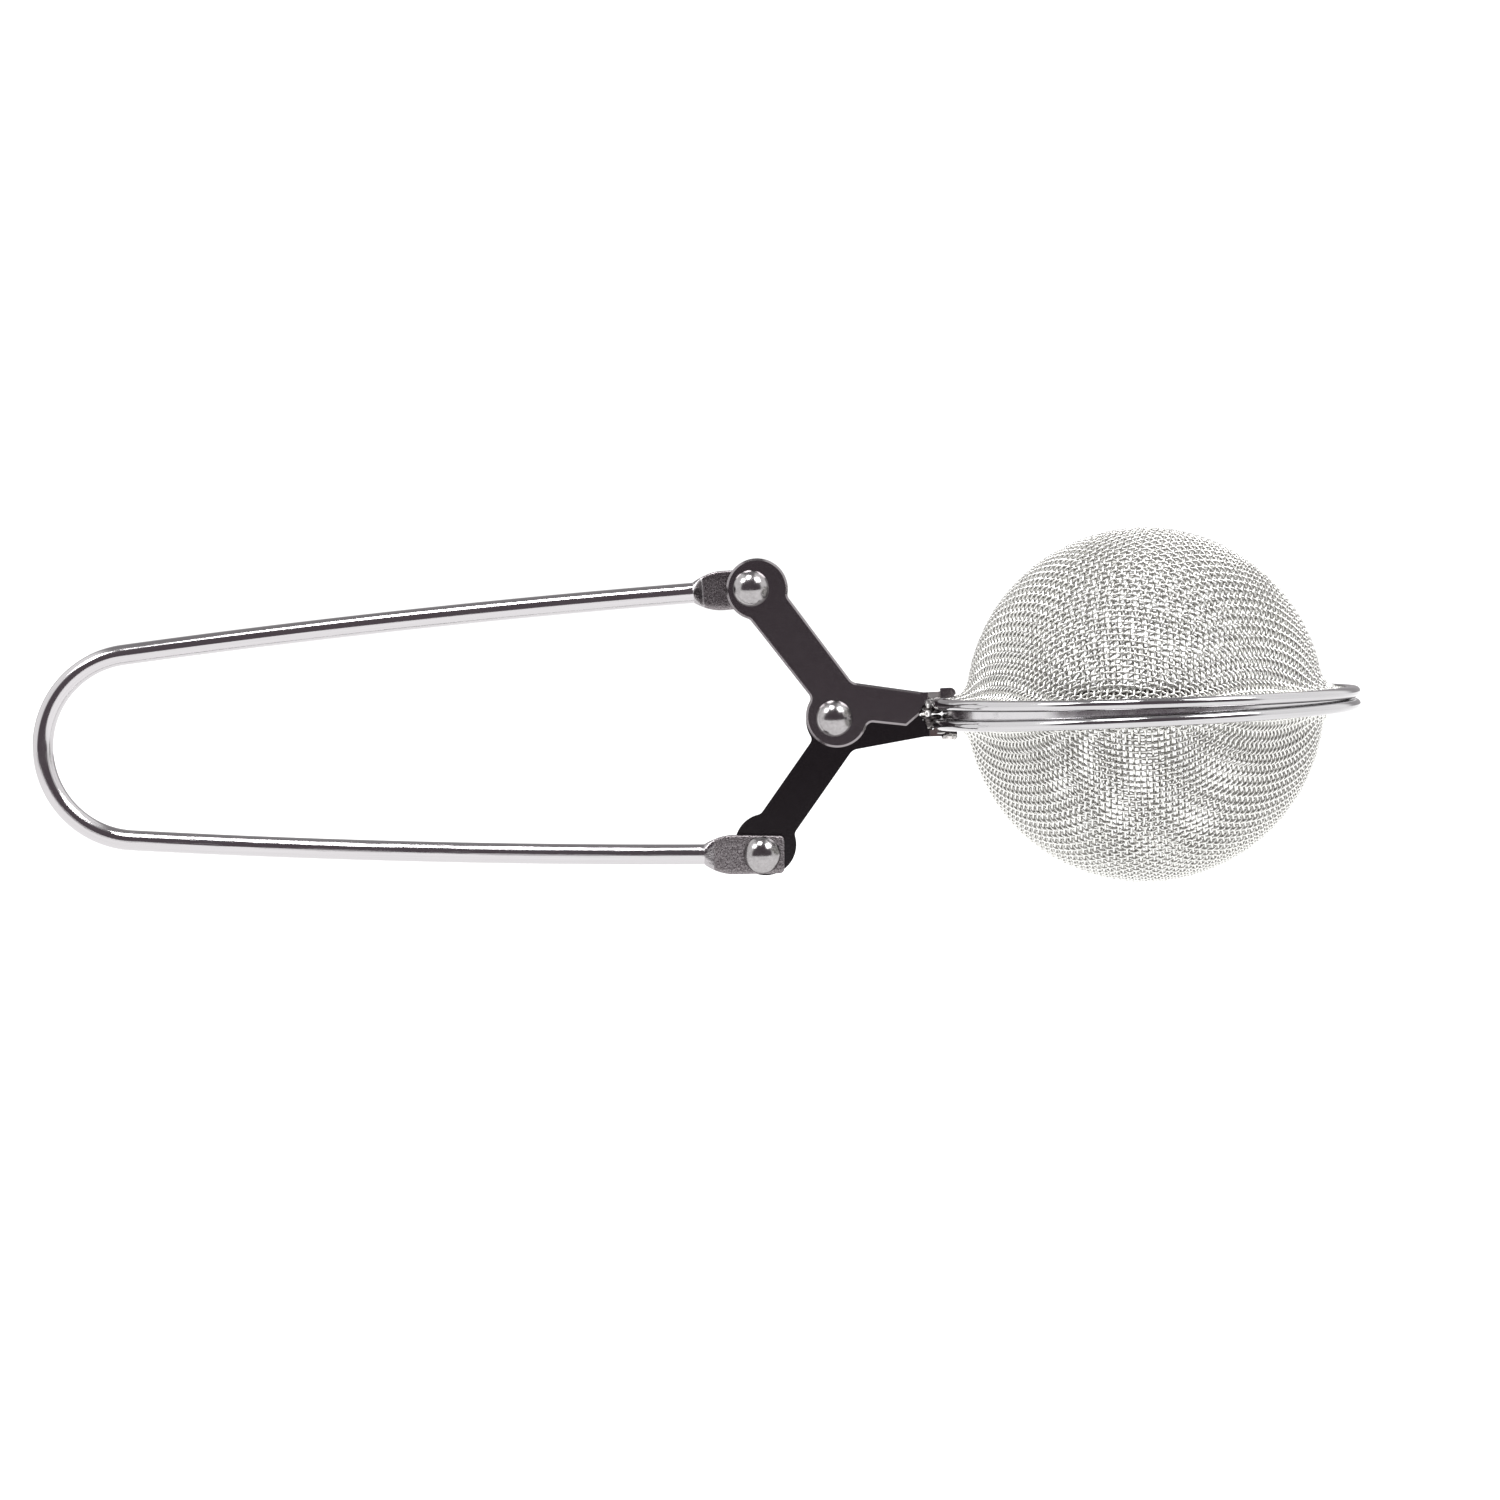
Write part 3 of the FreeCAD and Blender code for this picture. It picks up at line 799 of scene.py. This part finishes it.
def rivet(name, point, node_name, body):
    """One rivet: front head, shank and rear head."""
    front = head_profile(FRONT_HEAD_H)
    rear = head_profile(REAR_HEAD_H)
    front_side = (front + [0, HEAD_SEAT_Y]) * [1.0, -1.0]
    rear_side = rear + [0, HEAD_SEAT_Y]
    shank = np.array([[SHANK_R, -HEAD_SEAT_Y], [SHANK_R, HEAD_SEAT_Y]])
    profile = np.concatenate([front_side[::-1][1:], shank, rear_side[:-1]])
    sides = RIVET_SIDES
    sections = lathe(profile, sides, "y")
    ring_points = sections.reshape(-1, 3)
    crowns = np.array([[0, front_side[-1][1], 0], [0, rear_side[-1][1], 0]])
    points = np.concatenate([ring_points, crowns])
    rows = len(profile)
    s, k = np.meshgrid(np.arange(sides), np.arange(rows - 1), indexing="ij")
    s_next = (s + 1) % sides
    quads = np.stack([s * rows + k, s * rows + k + 1, s_next * rows + k + 1, s_next * rows + k],
                     axis=-1).reshape(-1, 4)
    side = np.arange(sides)
    side_next = (side + 1) % sides
    front_fan = np.stack([side * rows, side_next * rows, np.full(sides, len(ring_points))], axis=1)
    rear_fan = np.stack([side_next * rows + rows - 1, side * rows + rows - 1,
                         np.full(sides, len(ring_points) + 1)], axis=1)
    piece = mesh_piece(name, points + point, [quads, front_fan, rear_fan], RIVET)
    settle(piece, node_name, body)


def rivets():
    rivet("rivet_centre", PIVOT, "centre_rivet", "upper_jaw")
    rivet("rivet_upper", UPPER_RIVET, "upper_rivet", "upper_arm")
    rivet("rivet_lower", turned_over(UPPER_RIVET), "lower_rivet", "lower_arm")


# == Plates ==

def plates():
    for name, material in (("front_link_plate", FRONT_PLATE), ("rear_link_plate", REAR_SHADED_PLATE)):
        slots = frame["nodes"][name].data.materials
        slots.clear()
        slots.append(material)


# == Rings and bands ==

def hoop(side, seam):
    """A round wire hoop whose ends are butt-welded at a seam angle."""
    angles = np.linspace(0, 2 * math.pi, RING_SEGMENTS, endpoint=False)
    from_seam = (angles - seam + math.pi) % (2 * math.pi) - math.pi
    arc = from_seam * RING_R
    swell = SEAM_SWELL * np.exp(-(arc / SEAM_SWELL_LENGTH) ** 2)
    swell -= SEAM_NOTCH * np.exp(-(arc / SEAM_NOTCH_LENGTH) ** 2)
    section = np.linspace(0, 2 * math.pi, RING_SIDES, endpoint=False)
    wire_r = (RING_WIRE_R + swell)[:, None]
    rho = RING_R + wire_r * np.cos(section)
    height = wire_r * np.sin(section)
    sections = np.stack([rho * np.cos(angles)[:, None], rho * np.sin(angles)[:, None], height],
                        axis=-1)[:, ::-1]
    points = in_jaw(sections, side)
    groups, uvs = skin(points, closed=True)
    piece = mesh_piece(f"ring_{side}", points, groups, RING, uvs, sharp=None)
    settle(piece, f"{side}_ring", f"{side}_jaw")


def band(side, lip_z, lean):
    """The rolled strip inside a hoop, with its inward foot under the brim. Its lip leans by that
    much a millimetre along X, so that it ends along the other band's."""
    corners = [
        (BAND_IN_R, BAND_TOP_Z), (BAND_OUT_R, BAND_TOP_Z), (BAND_OUT_R, lip_z),
        (BAND_IN_R, lip_z), (BAND_IN_R, BAND_FOOT_LOW_Z), (BAND_FOOT_R, BAND_FOOT_LOW_Z),
        (BAND_FOOT_R, BAND_FOOT_TOP_Z), (BAND_IN_R, BAND_FOOT_TOP_Z),
    ]
    radii = [0.1, 0.2, LIP_R, 0.06, 0.04, 0.04, 0.04, 0.04]
    sections = lathe(rounded(corners, radii), BAND_SEGMENTS, "z")
    on_lip = sections[..., 2] < BAND_FOOT_LOW_Z - 0.01
    sections[..., 2] += on_lip * lean * sections[..., 0]
    radius = np.hypot(sections[..., 0], sections[..., 1])
    points = in_jaw(sections, side)
    groups, uvs = skin(points, closed=True)
    piece = mesh_piece(f"band_{side}", points, groups, BAND, uvs)
    # Faces of the inner wall, which band_steel darkens with painted shade.
    mark(piece, "inside", radius < (BAND_IN_R + BAND_OUT_R) / 2)
    settle(piece, f"{side}_rim_band", f"{side}_jaw")


def rims():
    hoop("upper", UPPER_SEAM)
    hoop("lower", LOWER_SEAM)
    lean = 2 * math.tan(JAW_GAPE)
    upper_lip_z = LIP_GAP - LOWER_LIP_Z - 2 * RING_CENTRE[2] / math.cos(JAW_GAPE)
    band("upper", upper_lip_z, lean)
    band("lower", LOWER_LIP_Z, 0.0)


# == Wire cloth ==

def flare():
    """Where the bowl turns outward to its brim: start, centre and radius in (radius, height)."""
    rise = BRIM_TOP_Z - BOWL_CENTRE_Z
    start = np.array([math.sqrt(BOWL_R ** 2 - rise ** 2), BRIM_TOP_Z])
    outward = unit(start - [0, BOWL_CENTRE_Z])
    chord = np.array([BRIM_R, BRIM_Z]) - start
    radius = chord @ chord / (2 * chord @ outward)
    return start, start + outward * radius, radius


FLARE_START, FLARE_CENTRE, FLARE_R = flare()


def bowl_surface(points):
    """How far points lie outside the bowl's middle surface, and the way out."""
    rho = np.maximum(np.hypot(points[..., 0], points[..., 1]), 1e-9)
    z = points[..., 2]
    dome_r = np.hypot(rho, z - BOWL_CENTRE_Z)
    flare_rho = rho - FLARE_CENTRE[0]
    flare_z = z - FLARE_CENTRE[1]
    flare_r = np.hypot(flare_rho, flare_z)
    in_dome = z > BRIM_TOP_Z
    gap = np.where(in_dome, dome_r - BOWL_R, FLARE_R - flare_r)
    out_rho = np.where(in_dome, rho / dome_r, -flare_rho / flare_r)
    out_z = np.where(in_dome, (z - BOWL_CENTRE_Z) / dome_r, -flare_z / flare_r)
    outward = np.stack([out_rho * points[..., 0] / rho, out_rho * points[..., 1] / rho, out_z], -1)
    return gap, outward


def meridian_point(length):
    """A point on the bowl that far down a meridian from its apex, in the XZ plane."""
    start_angle = math.atan2(FLARE_START[0], FLARE_START[1] - BOWL_CENTRE_Z)
    if length < start_angle * BOWL_R:
        angle = length / BOWL_R
        return [BOWL_R * math.sin(angle), 0, BOWL_CENTRE_Z + BOWL_R * math.cos(angle)]
    past = (length - start_angle * BOWL_R) / FLARE_R
    angle = start_angle + math.pi - past
    return [FLARE_CENTRE[0] + FLARE_R * math.sin(angle), 0,
            FLARE_CENTRE[1] + FLARE_R * math.cos(angle)]


def quarter_net():
    """Crossings of flat cloth draped over a quarter of the bowl. Every cell keeps its four sides
    one pitch long and only shears, so each crossing follows from the three before it."""
    count = int(NET_REACH * BOWL_R / PITCH)
    net = np.full((count, count, 3), np.nan)
    for index in range(count):
        x, _, z = meridian_point(index * PITCH)
        net[index, 0] = (x, 0, z)
        net[0, index] = (0, x, z)
    for total in range(2, 2 * count - 1):
        i = np.arange(max(1, total - count + 1), min(total, count))
        j = total - i
        back, side, corner = net[i - 1, j], net[i, j - 1], net[i - 1, j - 1]
        known = np.isfinite(back).all(1) & np.isfinite(side).all(1)
        known &= np.hypot(corner[:, 0], corner[:, 1]) < BRIM_R
        if not known.any():
            continue
        i, j, back, side, corner = i[known], j[known], back[known], side[known], corner[known]
        net[i, j] = next_crossing(back, side, corner)
    return net


def next_crossing(back, side, corner):
    """Points of the bowl one pitch from two neighbours, by Newton's method."""
    guess = back + side - corner
    for _ in range(SOLVER_STEPS):
        gap, outward = bowl_surface(guess)
        from_back = guess - back
        from_side = guess - side
        miss = np.stack([
            ((from_back ** 2).sum(1) - PITCH ** 2) / 2,
            ((from_side ** 2).sum(1) - PITCH ** 2) / 2,
            gap,
        ], axis=1)
        slopes = np.stack([from_back, from_side, outward], axis=1)
        slopes += 1e-6 * np.eye(3)
        step = np.linalg.solve(slopes, miss[..., None])[..., 0]
        length = np.linalg.norm(step, axis=1, keepdims=True)
        guess = guess - step * np.minimum(1, LONGEST_STEP * PITCH / np.maximum(length, 1e-9))
    gap, _ = bowl_surface(guess)
    folded = np.linalg.norm(guess - corner, axis=1) < LEAST_CELL * PITCH
    guess[folded | (np.abs(gap) > MOST_OFF_BOWL)] = np.nan
    return guess


def whole_net():
    """The quarter mirrored to all four quarters."""
    quarter = quarter_net()
    half = np.concatenate([(quarter * [-1, 1, 1])[:0:-1], quarter])
    return np.concatenate([(half * [1, -1, 1])[:, :0:-1], half], axis=1)


def cloth_wires(net, over):
    """Centrelines with their outward directions of all wires along the net's first index. A wire
    rises over one crossing and dips under the next; over is 1 or -1 for the first."""
    wires = []
    count = net.shape[0]
    middle = count // 2
    places = np.arange((count - 1) * STEPS_PER_PITCH + 1) / STEPS_PER_PITCH
    low = np.minimum(places.astype(int), count - 2)
    part = (places - low)[:, None]
    for column in range(net.shape[1]):
        line = net[low, column] * (1 - part) + net[low + 1, column] * part
        kept = np.isfinite(line).all(1)
        kept &= np.hypot(line[:, 0], line[:, 1]) < BRIM_R
        if kept.sum() < 3 * STEPS_PER_PITCH:
            continue
        line = line[kept]
        _, outward = bowl_surface(line)
        wave = over * (-1) ** (column - middle) * np.cos(math.pi * (places[kept] - middle))
        wires.append((column, line + outward * WIRE_R * wave[:, None], outward))
    return wires


def tube_arrays(wires):
    """Points and faces of six-sided tubes round centrelines, with flat ends."""
    points = []
    quads = []
    ends = []
    offset = 0
    ring = 2 * math.pi * np.arange(WIRE_SIDES) / WIRE_SIDES
    for line, outward in wires:
        along = unit(np.gradient(line, axis=0))
        across = unit(np.cross(outward, along))
        up = np.cross(along, across)
        circle = np.cos(ring)[None, :, None] * across[:, None]
        circle = circle + np.sin(ring)[None, :, None] * up[:, None]
        points.append((line[:, None] + WIRE_R * circle).reshape(-1, 3))
        quads.append(offset + section_quads(len(line), WIRE_SIDES)[2])
        ends.append(offset + end_caps(len(line), WIRE_SIDES))
        offset += len(line) * WIRE_SIDES
    return np.concatenate(points), [np.concatenate(quads), np.concatenate(ends)]


def shaken(net, seed):
    """Cells of real cloth are a little uneven."""
    rng = np.random.default_rng(seed)
    return net + rng.normal(0, CELL_JITTER, net.shape)


def turned(points, angle):
    """Points turned about Z."""
    cos_a = math.cos(angle)
    sin_a = math.sin(angle)
    x, y, z = points[..., 0], points[..., 1], points[..., 2]
    return np.stack([x * cos_a - y * sin_a, x * sin_a + y * cos_a, z], axis=-1)


def bowl_cloth(side, weave_turn, seed):
    """Warp and weft of one bowl, each in two pieces."""
    net = shaken(whole_net(), seed)
    for system, crossings, over in (("warp", net, 1), ("weft", net.transpose(1, 0, 2), -1)):
        wires = cloth_wires(crossings, over)
        middle = net.shape[0] // 2
        halves = ([w for w in wires if w[0] < middle], [w for w in wires if w[0] >= middle])
        for number, half in enumerate(halves, start=1):
            points, groups = tube_arrays([(line, outward) for _, line, outward in half])
            points = in_jaw(turned(points, weave_turn), side)
            piece = mesh_piece(f"cloth_{side}_{system}_{number}", points, groups, CLOTH, sharp=None)
            around = 2 * math.pi * np.arange(WIRE_SIDES) / WIRE_SIDES
            # Painted shade: 1 on the side of each wire that faces into the bowl.
            mark(piece, "inside", np.tile(0.5 - 0.5 * np.sin(around), len(points) // WIRE_SIDES))
            settle(piece, f"{side}_mesh_bowl", f"{side}_jaw")


def cloth():
    bowl_cloth("upper", UPPER_WEAVE_TURN, seed=5)
    bowl_cloth("lower", LOWER_WEAVE_TURN, seed=6)


# == Welds ==

def nugget(place, radii, seed, lump, crater=0.0, bright=1.0):
    """Points, faces and brightness of a lumpy ellipsoid of frozen weld metal. A lump of 0.1
    stands a tenth of its radius proud, and a crater of 0.5 sinks half of the radius in front."""
    ball = bmesh.new()
    bmesh.ops.create_icosphere(ball, subdivisions=5, radius=1.0)
    normals = np.array([vertex.co for vertex in ball.verts])
    faces = np.array([[vertex.index for vertex in face.verts] for face in ball.faces])
    ball.free()
    relief = np.zeros(len(normals))
    for octave, cell in enumerate((0.6, 0.3, 0.16)):
        layer = seed + 10 * octave
        noise_xy = lattice_noise(normals[:, 0] + 9, normals[:, 1] + 9, cell, layer)
        noise_yz = lattice_noise(normals[:, 1] + 5, normals[:, 2] + 5, cell, layer + 1)
        noise_zx = lattice_noise(normals[:, 2] + 7, normals[:, 0] + 7, cell, layer + 2)
        relief += (noise_xy + noise_yz + noise_zx) / 2 ** (octave + 1)
    from_front = np.hypot(normals[:, 0], normals[:, 2]) + 2 * (normals[:, 1] > 0)
    swell = 1 + lump * relief - crater * np.exp(-(from_front / CRATER_WIDTH) ** 2)
    points = normals * swell[:, None] * radii + place
    return points, faces, np.full(len(points), bright)


def merged(shapes):
    """Several point, face and brightness arrays as one."""
    points = np.concatenate([shape[0] for shape in shapes])
    bright = np.concatenate([shape[2] for shape in shapes])
    starts = np.cumsum([0] + [len(shape[0]) for shape in shapes[:-1]])
    faces = np.concatenate([shape[1] + start for shape, start in zip(shapes, starts)])
    return points, faces, bright


def from_pivot(x, y, z):
    """A place in the upper jaw's frame given from the centre pivot."""
    return PIVOT + [x, y, z]


def weld(side, shapes):
    points, faces, bright = merged(shapes)
    if side == "lower":
        points = turned_over(points)
    piece = mesh_piece(f"weld_{side}", points, [faces], WELD, sharp=None)
    mark(piece, "bright", bright)
    settle(piece, f"{side}_weld", f"{side}_jaw")


def welds():
    """Nuggets at each ring's joint with its plate: dark fillets round the nose, bright beads at the
    nose and on the tab, and a crumpled bead along the lower tab's lug. Each has its place from the
    pivot, its radii, its seed and its lump."""
    fillet = [
        nugget(from_pivot(11.02, -0.50, 1.42), (0.52, 0.44, 0.62), 52, 0.10, bright=0.35),
        nugget(from_pivot(11.05, -0.50, 0.62), (0.60, 0.42, 0.66), 53, 0.10, bright=0.0),
        nugget(from_pivot(10.68, -0.50, 0.32), (0.62, 0.40, 0.32), 55, 0.08, bright=0.0),
        nugget(from_pivot(11.95, -0.12, 0.36), (0.66, 0.50, 0.33), 56, 0.06, bright=0.0),
    ]
    upper = fillet + [
        nugget(from_pivot(10.93, -1.06, 0.12), (0.42, 0.34, 0.40), 41, 0.08, crater=0.8),
        nugget(from_pivot(10.50, -0.98, 0.08), (0.44, 0.18, 0.16), 44, 0.08),
        nugget(from_pivot(10.98, -0.98, 0.98), (0.17, 0.16, 0.26), 42, 0.08),
        nugget(from_pivot(12.05, -0.60, 1.80), (0.50, 0.20, 0.14), 45, 0.10, bright=0.5),
        nugget(from_pivot(12.05, 0.60, 1.80), (0.50, 0.20, 0.14), 46, 0.10, bright=0.5),
        nugget(from_pivot(14.25, -0.42, 2.02), (0.20, 0.14, 0.16), 54, 0.10),
    ]
    lower = fillet + [
        nugget(from_pivot(12.05, -0.60, 1.80), (0.46, 0.20, 0.14), 48, 0.14, bright=0.5),
        nugget(from_pivot(12.45, 0.54, 2.22), (0.50, 0.16, 0.16), 49, 0.22, bright=0.6),
        nugget(from_pivot(12.95, 0.48, 2.74), (0.40, 0.20, 0.24), 50, 0.34, bright=0.75),
        nugget(from_pivot(13.40, 0.50, 2.66), (0.42, 0.20, 0.30), 57, 0.34, bright=0.9),
        nugget(from_pivot(13.92, 0.46, 2.64), (0.34, 0.22, 0.32), 51, 0.34, bright=0.6),
    ]
    weld("upper", upper)
    weld("lower", lower)


# == Studio ==

def studio_floor():
    """A plain white disc well below the object, which is held in the air. Its near edge lets the
    dark side of the room show in the metal."""
    material = bpy.data.materials.new("floor_white")
    material.use_nodes = True
    shader = material.node_tree.nodes["Principled BSDF"]
    shader.inputs["Base Color"].default_value = (0.3, 0.3, 0.3, 1)
    shader.inputs["Roughness"].default_value = 0.9
    shader.inputs["Emission Color"].default_value = (1, 1, 1, 1)
    shader.inputs["Emission Strength"].default_value = FLOOR_GLOW
    bpy.ops.mesh.primitive_circle_add(vertices=96, radius=FLOOR_R, fill_type="NGON",
                                      location=(0.07, FLOOR_R - FLOOR_FRONT, FLOOR_Z))
    floor = bpy.context.object
    floor.name = "floor"
    floor.data.materials.append(material)


def studio_world():
    """A white room with a grey ceiling over the middle, between two bright sides, an unlit side
    behind the camera and a dim one behind the object. The camera itself sees plain white."""
    world = bpy.data.worlds.new("studio")
    bpy.context.scene.world = world
    world.use_nodes = True
    world.node_tree.nodes.clear()
    x, y, z = axes(world, "Generated")
    zones = (
        (CEILING, ((z, CEILING_FROM_Z), (x, CEILING_LEFT_X), (x, CEILING_RIGHT_X))),
        (DARK_SIDE, ((y, DARK_SIDE_Y), (z, DARK_SIDE_Z))),
        (BACK, ((y, BACK_Y), (z, BACK_Z))),
    )
    room = WALLS
    for colour, limits in zones:
        shares = [spread(world, axis, 0, 1, *ends, "SMOOTHSTEP") for axis, ends in limits]
        room = mix_colour(world, product(world, shares), room, colour)
    lit = node(world, "ShaderNodeBackground")
    link(world, room, lit.inputs["Color"])
    plain = node(world, "ShaderNodeBackground", Strength=SEEN_WHITE, Color=(1, 1, 1, 1))
    path = node(world, "ShaderNodeLightPath")
    choice = node(world, "ShaderNodeMixShader")
    link(world, path.outputs["Is Camera Ray"], choice.inputs["Fac"])
    link(world, lit.outputs[0], choice.inputs[1])
    link(world, plain.outputs[0], choice.inputs[2])
    out = node(world, "ShaderNodeOutputWorld")
    link(world, choice.outputs[0], out.inputs["Surface"])


def softbox(name, place, aim, width, height, watts):
    light = bpy.data.lights.new(name, "AREA")
    light.shape = "RECTANGLE"
    light.size = width
    light.size_y = height
    light.energy = watts
    lamp = bpy.data.objects.new(name, light)
    lamp.location = place
    lamp.rotation_euler = (Vector(aim) - Vector(place)).to_track_quat("-Z", "Y").to_euler()
    bpy.context.scene.collection.objects.link(lamp)


def studio_lights():
    middle = (PIVOT[0] * MM, 0, 0)
    ball = (RING_CENTRE[0] * MM, 0, 0)
    softbox("strip", (-0.02, -0.24, 0.56), middle, width=0.18, height=0.2, watts=2.0)
    softbox("window_right", (0.40, -0.26, 0.42), ball, width=0.26, height=0.26, watts=2.2)
    softbox("window_left", (-0.24, -0.22, 0.36), middle, width=0.16, height=0.16, watts=0.8)


# == Camera ==

def camera():
    """A long lens in front of the linkage, slightly above it and rolled."""
    look = np.array([0, math.cos(CAMERA_ELEVATION), -math.sin(CAMERA_ELEVATION)])
    right = np.array([1.0, 0, 0])
    up = np.cross(right, look)
    data = bpy.data.cameras.new("camera")
    data.lens = CAMERA_LENS
    data.sensor_width = SENSOR_WIDTH
    data.clip_start = 0.01
    view = bpy.data.objects.new("camera", data)
    bpy.context.scene.collection.objects.link(view)
    turn = np.eye(4)
    turn[:3, 0] = right * math.cos(CAMERA_ROLL) - up * math.sin(CAMERA_ROLL)
    turn[:3, 1] = up * math.cos(CAMERA_ROLL) + right * math.sin(CAMERA_ROLL)
    turn[:3, 2] = -look
    turn[:3, 3] = (CAMERA_TARGET - look * CAMERA_DISTANCE) * MM
    view.matrix_world = Matrix(turn.tolist())
    bpy.context.scene.camera = view


def looks():
    """Plain tones: what is white in the studio is white in the picture."""
    settings = bpy.context.scene.view_settings
    settings.view_transform = "Standard"
    settings.look = "None"


handle()
rivets()
plates()
rims()
cloth()
welds()
studio_floor()
studio_world()
studio_lights()
camera()
looks()
